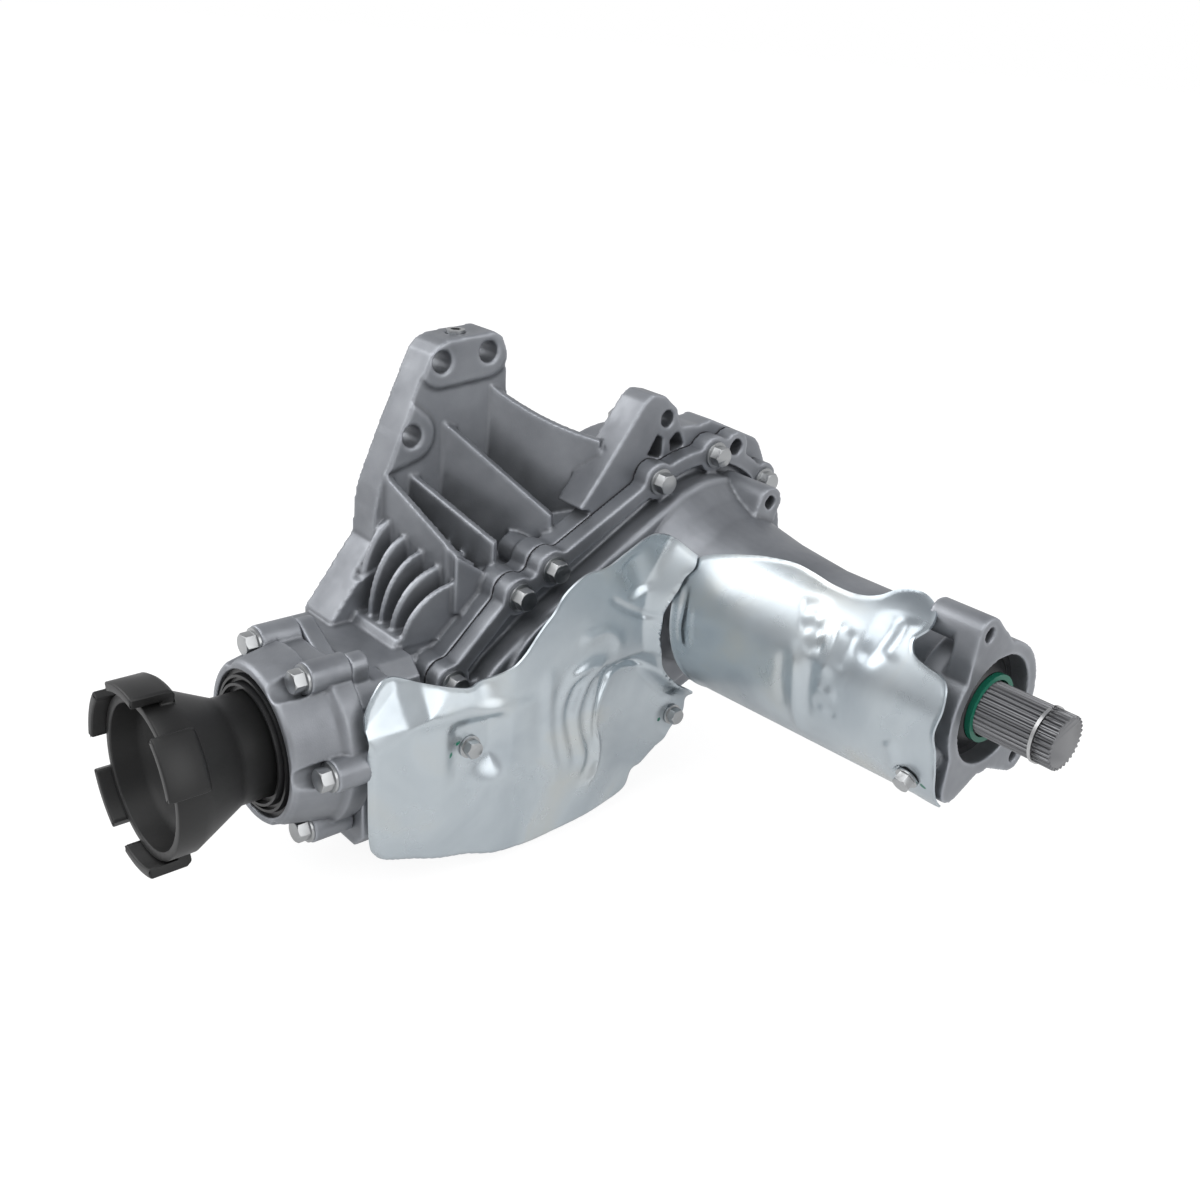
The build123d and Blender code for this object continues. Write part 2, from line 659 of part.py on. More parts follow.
def right_cover():
    """The cover: split flange, ring gear bulge, bearing cone, and the long tube with its end ring."""
    body = between(flange_outline(), cover_start, cover_face)
    lobes = spots(cover_bolt_places(), lobe_r) + spots([ear_hole], ear_lobe_r)
    channel = hull(outline_circles, rim_in) - hull(drum_circles, 0) - lobes
    body -= between(channel, cover_start + cover_skin, cover_face)
    groove = hull(outline_circles, groove_line_out + groove_width) - hull(outline_circles, groove_line_out) - lobes
    body -= between(groove, cover_face - groove_depth, cover_face)
    drum = slab(drum_circles, 0, cover_start, drum_x)
    body += fillet(drum.faces().sort_by(Axis.X)[-1].edges(), drum_round)
    body += rod(transfer_line, ring_room[2] + drum_wall, drum_x - 1, bulge_x)
    body += rod(transfer_line, transfer_bearing[1] + 6, drum_x - 1, transfer_boss_x)
    cone_start_r = drum_r - drum_round
    body += turned(input_line, [(0, drum_x - 1), (cone_start_r, drum_x - 1), (cone_start_r, drum_x),
                                (cone_shoulder_r, cone_shoulder_x), (cone_middle_r, cone_middle_x),
                                (cone_end_r, cone_end_x), (tube_r, tube_taper_x), (tube_r, tube_end_x),
                                (0, tube_end_x)])
    body += rod(input_line, end_ring_r, tube_end_x - end_ring_length, tube_end_x)
    for radius, angle, length in end_ears:
        spot = polar(radius, angle)
        tip = Pos(spot[0], spot[1]) * Circle(end_ear_r)
        outline = make_hull(tip.edges() + Circle(end_ring_r - 6).edges())
        body += extrude(Plane.YZ.offset(tube_end_x - min(length, 14)) * outline, amount=min(length, 14))
        body += rod(input_line, end_ear_r, tube_end_x - length, tube_end_x, spot)

    # Bosses: the tapped one beside the cone, and the seats of the heat shields
    foot = Pos(*[0.8 * value for value in cover_boss]) * Circle(cover_boss_r)
    body += between(make_hull((Pos(*cover_boss) * Circle(cover_boss_r)).edges() + foot.edges()),
                    cover_face - 1, cover_boss_x)
    gusset_top = math.hypot(*cover_boss) - m8_tap_r - 1.5
    gusset = make_face(Polyline((cover_boss_x - 5, 0), (cover_boss_x - 5, gusset_top), (cover_boss_x, gusset_top),
                                (cover_gusset_x, tube_r), (cover_gusset_x, 0), close=True))
    body += cover_gusset_plane * extrude(gusset, amount=cover_gusset_thickness / 2, both=True)
    for spot, root in zip(shield_bolt_spots, outline_circles[2:]):
        body += slab(((*spot, shield_boss_r), (*root[:2], shield_boss_r)), 0, cover_start, cover_face)
        body += rod(input_line, shield_boss_r, cover_face - 1, shield_face_x - shield_sheet, spot)
    seat_r = tube_shield_r(tube_bolt_x + shield_boss_r) - shield_sheet
    body += rod(tube_bolt_line, shield_boss_r, tube_r - 2, seat_r + 5) & rod(
        input_line, seat_r, tube_bolt_x - 20, tube_bolt_x + 20)

    # Inside: ring gear room, input bearing pocket, cone and tube bore
    body -= slab((ring_room, pinion_room), 0, cover_start, drum_x - drum_wall - 7)
    body -= rod(transfer_line, ring_room[2], cover_start, bulge_x - 7)
    entry_r = drum_r - drum_wall - 0.5
    pocket_end = input_front_x + input_bearing[2] + 0.2
    collar_r = input_bearing[1] - 6
    tube_seat = tube_bearing_x - 0.2
    body -= turned(input_line, [(0, cover_start - 1), (entry_r, cover_start - 1), (entry_r, input_front_x - 6),
                                (input_bearing[1], input_front_x - 4), (input_bearing[1], pocket_end),
                                (collar_r, pocket_end), (collar_r, cone_room[1] - 4), cone_room,
                                (tube_room_r, cone_room_end_x), (tube_room_r, tube_seat), (tube_bore_r, tube_seat),
                                (tube_bore_r, tube_end_x + 1), (0, tube_end_x + 1)])
    body -= rod(transfer_line, transfer_bearing[1], bulge_x - 8, transfer_boss_x - 4)

    # Fastener holes
    for place in cover_bolt_places():
        body -= rod(input_line, m8_hole_r, cover_start, cover_face, place)
        body -= rod(input_line, bolt_flange_r + 1, cover_face, cover_face + 20, place)
    body -= rod(input_line, lug_hole_r, cover_start, cover_face, ear_hole)
    for place in dowel_places():
        body -= rod(input_line, dowel_r + seat_gap, cover_start, split_x + dowel_length / 2 + 0.5, place)
    for spot in shield_bolt_spots:
        body -= rod(input_line, m6_tap_r, shield_face_x - 22, shield_face_x, spot)
    body -= rod(tube_bolt_line, m6_tap_r, tube_bore_r + 3, 70)
    body -= rod(input_line, m8_tap_r, cover_boss_x - cover_boss_tap, cover_boss_x, cover_boss)
    for radius, angle, length in end_ears[:2]:
        body -= rod(input_line, m8_tap_r, tube_end_x - 16, tube_end_x, polar(radius, angle))
    return body


def pinion_cover():
    """The round cover on the nose: it holds the outer pinion bearing and the output seal."""
    start = -nose_face_y + shim_thickness
    face = start + cover_plate
    seat = -nose_face_y + pinion_bolt_seat
    rim = -seal_face_y
    body = turned(pinion_line, [(0, start), (pinion_cover_r, start), (pinion_cover_r, face), (51, face + 3),
                                (48, rim - 11), (46, rim - 2), (seal_rim_r, rim), (0, rim)])
    body -= Pos(pinion_x, -start, transfer_z + pinion_cover_top) * Box(
        150, 2 * cover_plate + 8, 30, align=(Align.CENTER, Align.CENTER, Align.MIN))
    for place in pinion_bolt_places():
        body += rod(pinion_line, pinion_boss_r, start, seat, place)
    pocket = start + 6
    body -= rod(pinion_line, tail_bearing[1], start, pocket + tail_bearing[2])
    body -= rod(pinion_line, neck_r + 1.5, start, rim)
    body -= rod(pinion_line, output_seal_r, rim - output_seal_depth, rim)
    for place in pinion_bolt_places():
        body -= rod(pinion_line, m8_hole_r, start, seat, place)
        body -= rod(pinion_line, bolt_flange_r + 0.6, seat, seat + 30, place)
    return body


def tube_shield_r(station):
    """The tube shield's outer radius at a station along X."""
    start_r = dome_end_r - shield_sheet - 0.3
    share = (station - tube_shield_start_x) / (tube_shield_end_x - tube_shield_start_x)
    return start_r + share * (tube_shield_end_r - start_r)


def shield_pan(shrink):
    """The lower shield's dished form, shrunk by a wall: a slab with a rounded front edge."""
    front = shield_face_x - shrink
    body = slab(shield_circles, -shrink, shield_back_x - shrink, front)
    return fillet(body.faces().sort_by(Axis.X)[-1].edges(), shield_bend - shrink)


def sweep_round(points, angles):
    """A partial solid of revolution about the input axis, between two angles."""
    face = Plane.XZ * make_face(Polyline(*points, close=True))
    return input_line * Rot(0, 0, angles[0]) * revolve(face, Axis.Z, revolution_arc=angles[1] - angles[0])


def lower_heat_shield():
    """A pressed sheet over the cover: a dished pan with a domed half collar round the cone."""
    pan = shield_pan(0) - shield_pan(shield_sheet)
    top = Spline(*shield_top_edge)
    above = make_face([*top.edges(), *Polyline(shield_top_edge[-1], (0, 40), (60, 150), (-275, 150),
                                               shield_top_edge[0]).edges()])
    pan -= extrude(Plane.YZ.offset(shield_back_x - 5) * above, amount=shield_face_x - shield_back_x + 10)
    pan -= block((shield_back_x - 5, shield_face_x - 1.6), (-270, -244), (-120, 10))
    inner_start, inner_end = dome_start_r - shield_sheet, dome_end_r - shield_sheet
    pan -= turned(input_line, [(0, shield_back_x - 9), (inner_start, shield_back_x - 9), (inner_start, dome_start_x),
                               (inner_end, dome_end_x), (0, dome_end_x)])
    collar = [(dome_start_r, dome_start_x), (dome_end_r, dome_end_x), (inner_end, dome_end_x),
              (inner_start, dome_start_x)]
    for spot in shield_bolt_spots:
        pan -= rod(input_line, m6_r + 0.4, shield_face_x - 5, shield_face_x + 1, spot)
    return pan + sweep_round(collar, dome_angles)


def tube_heat_shield():
    """A pressed half shell round the front and underside of the tube."""
    start, end = tube_shield_start_x, tube_shield_end_x
    start_r, end_r = tube_shield_r(start), tube_shield_end_r
    section = [(start_r, start), (start_r, dome_end_x), (end_r, end), (end_r - shield_sheet, end),
               (start_r - shield_sheet, dome_end_x), (start_r - shield_sheet, start)]
    body = sweep_round(section, tube_shield_angles)
    notch = [(40, tube_shield_notch_x), (80, tube_shield_notch_x), (80, end + 1), (40, end + 1)]
    body -= sweep_round(notch, (tube_shield_angles[0] - 5, tube_shield_notch_angle))
    corner = Plane((0, 0, 0), x_dir=(1, 0, 0), z_dir=(0, *polar(1, tube_shield_corner_angle)))
    body -= extrude(corner * make_face(Polyline((start - 4, -12), (start + 40, 9), (start + 70, 13), (start + 70, 30),
                                                (start - 4, 30), close=True)), amount=2 * start_r)
    return body - rod(tube_bolt_line, m6_r + 0.4, 45, 70)


def case_gasket():
    """The thin gasket in the split."""
    body = between(flange_outline() - hull(outline_circles, rim_in), split_x, cover_start)
    for place in cover_bolt_places():
        body -= rod(input_line, m8_hole_r, split_x, cover_start, place)
    for place in dowel_places():
        body -= rod(input_line, dowel_r + 0.3, split_x, cover_start, place)
    return body - rod(input_line, lug_hole_r, split_x, cover_start, ear_hole)


def input_shaft():
    """The hollow input shaft with its splined end towards the transmission."""
    bore_r = input_bearing[0]
    end = input_front_x + input_bearing[2]
    shoulder = input_front_x - 1.5
    body = turned(input_line, [(0, input_spline_end), (bore_r, input_spline_end), (bore_r, gear_x - 1),
                               (input_seat_r, gear_x - 1), (input_seat_r, shoulder), (bore_r, shoulder),
                               (bore_r, end), (0, end)])
    body += splined(input_line, input_spline_tip_r, input_spline_root_r, 26, -input_stub, input_spline_end)
    return body - rod(input_line, input_bore_r, -input_stub, end)


def transfer_shaft():
    """The solid shaft that carries the transfer gear and the ring gear."""
    first, last = bearing_start_x, bulge_x - 7
    bearing_w = transfer_bearing[2]
    bore_r = transfer_bearing[0]
    return turned(transfer_line, [(0, first + 0.4), (bore_r, first + 0.4), (bore_r, first + bearing_w + 0.2),
                                  (transfer_hub_r, first + bearing_w + 0.2), (transfer_hub_r, last),
                                  (bore_r, last), (bore_r, last + bearing_w - 0.4), (0, last + bearing_w - 0.4)])


def ring_gear():
    """The bevel ring gear on the transfer shaft; its teeth face the case."""
    large = bevel_module * pinion_teeth / 2 * ring_reach
    teeth = Pos(0, 0, pinion_x) * bevel_gear(bevel_module, ring_teeth, pinion_teeth, 180, ring_reach)
    teeth &= rod(Location(), ring_r + 2.2, pinion_x, pinion_x + large)
    teeth += rod(Location(), ring_r + 1.5, pinion_x + large, pinion_x + large + ring_back)
    teeth -= rod(Location(), transfer_hub_r + seat_gap, pinion_x, pinion_x + large + ring_back)
    return transfer_line * teeth


def pinion():
    """The bevel pinion with its stem, bearing seats and threaded end."""
    apex = -transfer_y
    large = apex + bevel_module * ring_teeth / 2
    body = pinion_line * Pos(0, 0, apex) * bevel_gear(bevel_module, pinion_teeth, ring_teeth, 180 / pinion_teeth)
    head = -head_bearing_y
    body += turned(pinion_line, [(0, large), (pinion_r - 3.5, large), (pinion_r - 4.5, large + 6),
                                 (stem_r, large + 9), (stem_r, head - 0.2), (pinion_seat_r, head - 0.2),
                                 (pinion_seat_r, pinion_thread_start), (pinion_thread_r, pinion_thread_start),
                                 (pinion_thread_r, pinion_thread_end), (0, pinion_thread_end)])
    return body


def output_flange():
    """The output flange: a splined neck that flares into a cup with raised claws on its rim."""
    tail = -nose_face_y + shim_thickness + 6 + tail_bearing[2]
    flare_a, flare_b, rim = -flare_start_y, -flare_end_y, -rim_y
    inner = flare_end_r - cup_wall
    body = turned(pinion_line, [(neck_bore_r + seat_gap, tail + 0.2), (neck_r, tail + 0.2), (neck_r, flare_a),
                                (flare_end_r, flare_b), (flare_end_r, rim), (inner, rim), (inner, flare_b),
                                (25, flare_a + 9), (neck_bore_r + seat_gap, flare_a + 9)])
    shoulder = flare_b - 2
    for middle in claw_angles:
        section = [(inner + 1, shoulder), (claw_r - 2, shoulder), (claw_r, shoulder + 3), (claw_r, -claw_y),
                   (claw_r - claw_thickness, -claw_y), (claw_r - claw_thickness, shoulder + 7),
                   (inner + 1, shoulder + 7)]
        face = Plane.XZ * make_face(Polyline(*section, close=True))
        claw = revolve(face, Axis.Z, revolution_arc=claw_width)
        body += pinion_line * Rot(0, 0, middle - claw_width / 2) * claw
    return body


def intermediate_shaft():
    """The long shaft through the hollow input shaft and the tube, splined at both ends."""
    body = turned(input_line, [(0, shaft_left_end + 20), (16, shaft_left_end + 20), (inner_shaft_r, 2),
                               (inner_shaft_r, 301), (16, 304), (16, spline_start_x), (0, spline_start_x)])
    body += splined(input_line, inner_spline_tip_r, inner_spline_root_r, inner_spline_teeth,
                    spline_start_x - 1, spline_end_x)
    body += splined(input_line, inner_spline_tip_r, inner_spline_root_r, 24, shaft_left_end,
                    shaft_left_end + 21)
    body -= ring(input_line, inner_spline_tip_r + 1, inner_spline_tip_r - 1.2, snap_ring_x,
                 snap_ring_x + snap_ring_width)
    return body


def snap_ring():
    """The open ring in the groove near the spline's end."""
    inner = inner_spline_tip_r - 1.2 + seat_gap
    body = ring(input_line, inner + 2.0, inner, snap_ring_x + 0.1, snap_ring_x + snap_ring_width - 0.1)
    return body - input_line * Pos(0, 20, snap_ring_x + 1) * Box(5, 40, 10)


def tube_seal():
    """The dust seal in the tube's end: a ring with a cone towards the shaft."""
    back = tube_end_x - 20
    return turned(input_line, [(inner_shaft_r + 2.5, back), (tube_bore_r - seat_gap, back),
                               (tube_bore_r - seat_gap, tube_end_x - 11), (27, tube_end_x - 11),
                               (19.5, tube_end_x - 5), (18.2, tube_end_x - 6.5), (24, tube_end_x - 12),
                               (inner_shaft_r + 2.5, tube_end_x - 14)])


def output_seal():
    """The output shaft seal with two raised rings on its face."""
    rim = -seal_face_y
    inner = neck_r + 0.3
    return turned(pinion_line, [(inner, rim - 9.5), (output_seal_r - seat_gap, rim - 9.5),
                                (output_seal_r - seat_gap, rim - 3), (38.5, rim - 3), (38, rim), (36.5, rim),
                                (36, rim - 2.5), (34.5, rim - 2.5), (34, rim + 2), (32.5, rim + 2),
                                (32, rim - 1.5), (inner, rim - 1.5)])


def drain_plug(line):
    """A flanged plug with a hexagon socket; its seat is at local Z 0."""
    body = Cylinder(plug_head_r, plug_head_height, align=low)
    body += Pos(0, 0, -plug_length) * Cylinder(plug_r, plug_length, align=low)
    socket = extrude(RegularPolygon(plug_socket_flat / 2, 6, major_radius=False), amount=plug_length)
    return line * (body - Pos(0, 0, -plug_length / 2) * socket)


def plate_plug():
    """The socket plug in the top edge of the mount plate; its top is at local Z 0."""
    body = Pos(0, 0, -plate_plug_length + seat_gap) * Cylinder(plate_plug_r, plate_plug_length - seat_gap, align=low)
    socket = extrude(RegularPolygon(plate_plug_r / 2, 6, major_radius=False), amount=plate_plug_length / 2)
    return plate_plug_line * (body - Pos(0, 0, -plate_plug_length / 2) * socket)


def vent_stem():
    """The ribbed stem of the breather."""
    points = [(0, -11.5), (vent_r, -11.5), (vent_r, 1.5)]
    for barb in range(3):
        level = 1.5 + 3.5 * barb
        points += [(vent_r + 1.6, level), (vent_r + 1.2, level + 1.8), (vent_r - 0.6, level + 1.8),
                   (vent_r - 0.6, level + 3.5)]
    points += [(vent_r - 0.6, 20), (0, 20)]
    return turned(vent_line, points)


def vent_cap():
    """The loose cap on the breather stem."""
    base = vent_cap_lift
    return turned(vent_line, [(vent_r - 0.2, base), (vent_cap_r - 1, base), (vent_cap_r, base + 1),
                              (vent_cap_r, base + 10), (vent_cap_r - 2.5, base + 13), (0, base + 13),
                              (0, 20.4), (vent_r - 0.2, 20.4)])


def build():
    """Every piece by name."""
    centre_line = math.degrees(math.atan2(transfer_z, transfer_y))
    pieces = {
        "main_case": main_case(),
        "right_cover": right_cover(),
        "pinion_cover": pinion_cover(),
        "case_gasket": case_gasket(),
        "lower_heat_shield": lower_heat_shield(),
        "tube_heat_shield": tube_heat_shield(),
        "input_shaft": input_shaft(),
        "input_gear": spur_gear(input_line, spur_module, input_teeth, centre_line, gear_x, input_seat_r + seat_gap, 37),
        "transfer_shaft": transfer_shaft(),
        "transfer_gear": spur_gear(transfer_line, spur_module, transfer_teeth,
                                   centre_line + 180 + 180 / transfer_teeth, gear_x,
                                   transfer_hub_r + seat_gap, 31),
        "ring_gear": ring_gear(),
        "pinion": pinion(),
        "output_flange": output_flange(),
        "intermediate_shaft": intermediate_shaft(),
        "snap_ring": snap_ring(),
        "tube_end_seal": tube_seal(),
        "seal_lip": ring(input_line, 19.3, 16.4, tube_end_x - 4.6, tube_end_x - 1.5),
        "output_seal": output_seal(),
        "input_seal": ring(input_line, input_bearing[1] - 6 - seat_gap, 27.3, -5.5, 2.5),
        "spigot_o_ring": input_line * Pos(0, 0, -3) * Torus(spigot_r - o_ring_r, o_ring_r),
        "drain_plug": drain_plug(drain_line),
        "fill_plug": drain_plug(fill_line),
        "plate_plug": plate_plug(),
        "vent_stem": vent_stem(),
        "vent_cap": vent_cap(),
    }
    transfer_front = bulge_x - 7
    tail_start = -nose_face_y + shim_thickness + 6
    sets = (("input_rear_bearing", input_line, input_bearing, bearing_start_x),
            ("input_front_bearing", input_line, input_bearing, input_front_x),
            ("transfer_rear_bearing", transfer_line, transfer_bearing, bearing_start_x),
            ("transfer_front_bearing", transfer_line, transfer_bearing, transfer_front),
            ("pinion_head_bearing", pinion_line, head_bearing, -head_bearing_y),
            ("pinion_tail_bearing", pinion_line, tail_bearing, tail_start),
            ("tube_bearing", input_line, tube_bearing, tube_bearing_x))
    for name, line, sizes, start in sets:
        cup, cone = bearing(line, sizes, start)
        pieces[name + "_cup"] = cup
        pieces[name + "_cone"] = cone
    bolt = flange_bolt(m8_r, cover_bolt_shank)
    pieces["cover_bolts"] = Compound([input_line * Pos(y, z, cover_face) * bolt for y, z in cover_bolt_places()])
    seat = -nose_face_y + pinion_bolt_seat
    long_bolt = flange_bolt(m8_r, pinion_bolt_seat + pinion_bolt_depth - 1)
    pieces["pinion_cover_bolts"] = Compound([pinion_line * Pos(x, z, seat) * long_bolt
                                             for x, z in pinion_bolt_places()])
    small = flange_bolt(m6_r, shield_bolt_length, 0.8)
    shield_bolts = [input_line * Pos(y, z, shield_face_x) * small for y, z in shield_bolt_spots]
    shield_bolts.append(tube_bolt_line * Pos(0, 0, tube_shield_r(tube_bolt_x - shield_boss_r)) * small)
    pieces["heat_shield_bolts"] = Compound(shield_bolts)
    pieces["dowel_pins"] = Compound([rod(input_line, dowel_r, split_x - 7.5, split_x + 8, place)
                                     for place in dowel_places()])
    pieces["pinion_shim"] = ring(pinion_line, 42, oil_room_r + 1, -nose_face_y, -nose_face_y + shim_thickness)
    pieces["pinion_spacer"] = ring(pinion_line, spacer_r, pinion_seat_r + seat_gap, -head_bearing_y + head_bearing[2] + 0.3,
                                    tail_start - 0.3)
    nut_start = -flare_start_y + 9.2
    nut = extrude(RegularPolygon(output_nut_flat / 2, 6, major_radius=False), amount=output_nut_height)
    nut += Cylinder(output_nut_flange_r, output_nut_flange, align=low)
    nut -= Cylinder(pinion_thread_r + 0.1, output_nut_height, align=low)
    pieces["output_nut"] = pinion_line * Pos(0, 0, nut_start) * nut
    return pieces


os.makedirs("parts", exist_ok=True)
for name, piece in build().items():
    export_step(piece, "parts/" + name + ".step")
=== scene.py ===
"""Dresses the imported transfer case: cast fillets, pressed shields, materials, studio and camera."""

import json
import math

import bmesh
import bpy
import numpy as np
from mathutils import Matrix, Vector, geometry


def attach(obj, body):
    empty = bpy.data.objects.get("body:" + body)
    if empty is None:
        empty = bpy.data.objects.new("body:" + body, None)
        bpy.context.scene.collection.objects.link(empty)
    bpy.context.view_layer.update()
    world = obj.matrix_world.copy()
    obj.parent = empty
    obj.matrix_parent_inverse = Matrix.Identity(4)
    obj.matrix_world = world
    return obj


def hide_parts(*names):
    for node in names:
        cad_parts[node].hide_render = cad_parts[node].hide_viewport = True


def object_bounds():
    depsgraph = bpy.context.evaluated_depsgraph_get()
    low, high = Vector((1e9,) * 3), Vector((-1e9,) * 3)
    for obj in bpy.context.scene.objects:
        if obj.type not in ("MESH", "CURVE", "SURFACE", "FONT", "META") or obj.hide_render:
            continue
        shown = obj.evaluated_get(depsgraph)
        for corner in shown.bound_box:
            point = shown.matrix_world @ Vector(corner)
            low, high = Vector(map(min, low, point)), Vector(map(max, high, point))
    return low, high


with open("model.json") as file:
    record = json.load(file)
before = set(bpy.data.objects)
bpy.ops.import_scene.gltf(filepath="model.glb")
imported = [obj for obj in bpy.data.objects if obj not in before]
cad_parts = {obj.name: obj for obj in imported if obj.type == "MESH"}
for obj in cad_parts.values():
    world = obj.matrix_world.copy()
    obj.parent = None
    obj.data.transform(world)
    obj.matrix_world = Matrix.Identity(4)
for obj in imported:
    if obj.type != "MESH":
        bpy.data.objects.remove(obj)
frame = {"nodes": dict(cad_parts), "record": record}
cad_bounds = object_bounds()
nodes = frame["nodes"]
node_body = {name: body for body, names in frame["record"]["behaviour"]["bodies"].items() for name in names}
node_slot = {row["node"]: row["material_slot"] for row in frame["record"]["subparts"]}
mm = 0.001

# Camera, fitted to the photograph: it looks onto the nose and the tube from above
camera_place = (0.6245, -0.5653, 0.3119)
camera_azimuth = 47.2
camera_elevation = 23.8
camera_roll = 4.5
camera_lens = 39.0
camera_sensor = 36.0
camera_near = 0.01

# Castings: voxel size and smoothing passes, in metres
castings = [("main_case", 0.0012, 2), ("right_cover", 0.0012, 2), ("pinion_cover", 0.0009, 2)]
fillet_factor = 0.5

# Turned and forged pieces: width of the rounded edges in metres, and segments
rounded = [("output_flange", 0.0009, 2), ("cover_bolts", 0.0005, 2), ("pinion_cover_bolts", 0.0005, 2),
           ("heat_shield_bolts", 0.0004, 2), ("intermediate_shaft", 0.0002, 1)]
round_from = math.radians(35)
sharp_from = math.radians(40)
sheet_sharp_from = math.radians(50)
weld_gap = 2e-6

# Lower heat shield, in millimetres. Its outline and its folds are (y, z) points on the pan.
sheet = 1.2
lower_spacing = 1.4
pan_x = 128.8
collar_inner_r = 64.5
collar_end_x = 154.0
collar_slope = 2.4
collar_blend = 12.0
lower_top_edge = [
    (-256.6, -25.6), (-255.4, -20.2), (-251.9, -15.5), (-247.2, -10.6), (-241.3, -6.0), (-236.4, -5.1),
    (-231, -6.1), (-215.4, -10.6), (-197.2, -16), (-189.3, -14.6), (-179.4, -12.6), (-169.5, -8),
    (-162.2, -2.1), (-156.4, 4.9), (-150.6, 11.3), (-144.7, 17.1), (-136.9, 27.3), (-123.2, 35),
    (-108.6, 36), (-94.1, 42.1), (-79.5, 48.3), (-70.1, 48.9), (-59, 45), (-53.6, 38)]
lower_inner_edge = [
    (-61.1, 22.1), (-66.8, 5.6), (-67.5, -6.5), (-65.5, -20), (-58, -38), (-46, -53), (-35, -61)]
lower_foot_edge = [
    (-28.5, -66.5), (-27, -77.7), (-29.6, -84.9), (-39.2, -92), (-51.9, -102.4), (-61.3, -109.2),
    (-68.5, -111.5), (-72.8, -121.5), (-84.9, -126), (-117.2, -126.3), (-136.6, -127.4),
    (-159.2, -127.8), (-184.7, -124.6), (-219.2, -116.7), (-244, -109.2), (-252.2, -103.2),
    (-255.9, -92.8), (-256.6, -58.4)]
lower_bolt = (-195.0, -52.5)
corner_bolt = (-38.0, -80.5)

# Levels of the pan below and above its level crease: rise, and the y where it starts and ends
crease_depth = (24, 36)
left_step = (3.6, -236, -212)
middle_step = (4.6, -200, -178)
bay_fall = (-5.0, -165, -120)
bay_fade_depth = (95, 40)
right_fall = (-6.5, -120, -75)
shelf_step = (6.0, -236, -222)
shelf_end_step = (6.0, -190, -168)
shelf_slope = 0.42
shelf_slope_z = -30
shelf_fade = (168, 190)

# Pocket round the lower bolt: half widths, depths below the axis, and the seats of both bolts
pocket_shift = 2
pocket_side = (-22, -10)
pocket_top = (31, 40)
pocket_foot = (-78, -57)
lower_seat = (7, 10)
corner_seat = (8, 16)

# The fall towards the free corner at the upper left
fall_corner = (-257, -27)
fall_way = (0.55, -0.83)
fall_reach = 17
fall_slope = 0.28
fall_fade_y = (205, 225)
fall_fade_z = (-46, -26)

# Folds of the lower shield: path, height, half width
lower_folds = [
    ([(-143.7, -12), (-145.4, -29.2), (-144.9, -46), (-143.8, -61), (-139.4, -79.6), (-133, -96)], 2.2, 5.0),
    ([(-101, -21.7), (-114.1, -22.6), (-125.3, -27.3), (-130.6, -33.6), (-134.9, -43.4), (-135.4, -54.6),
      (-131.4, -73), (-126.7, -92.2)], 2.6, 4.2),
    ([(-98.4, -20.2), (-108.7, -26), (-116.3, -35), (-121.7, -46.8), (-123.7, -55.3), (-121.7, -67.7),
      (-118.3, -80.9), (-119.6, -97)], 3.0, 4.2),
    ([(-101, -34), (-107.3, -46.6), (-110, -60), (-109.9, -68), (-106.5, -77.7), (-108.1, -90.2),
      (-114, -100.2), (-124.3, -105)], 3.2, 4.0),
    ([(-125.8, -6.4), (-113.1, -4.2), (-104, -4.3), (-96.8, -9.5), (-94.8, -16.7), (-99.8, -19.8)], 1.6, 4.0),
    ([(-106, 17), (-101.8, 14.7), (-89.1, 6.2), (-78, 0.5), (-70.2, -0.5), (-66, 3.6)], -1.6, 2.2),
    ([(-92, 40), (-84, 26), (-78, 12)], -3.0, 9.0),
]
fold_fade = 0.22

# Line where the corner plate laps over the pan: height and reach on the plate's side, then on the pan's
lap_line = [(-118, -108), (-113.9, -101.5), (-107, -87), (-106.8, -74), (-107.1, -63.4), (-103.4, -52.9),
            (-96.2, -42.4), (-92.6, -37.6), (-83.3, -35.1), (-72, -37), (-60.2, -41.3), (-50, -49)]
lap_plate = (0.5, 4)
lap_pan = (-2.4, 9)
lap_width = 1.8
lap_fade = 0.15

# Bent rim along the free sides, and the fine lips of both shields: height and width
rim_bend = 4.0
rim_from_top = (6, 16)
rim_from_corner = (16, 30)
lower_lip = (0.5, 0.9)
tube_lip = (0.7, 1.0)

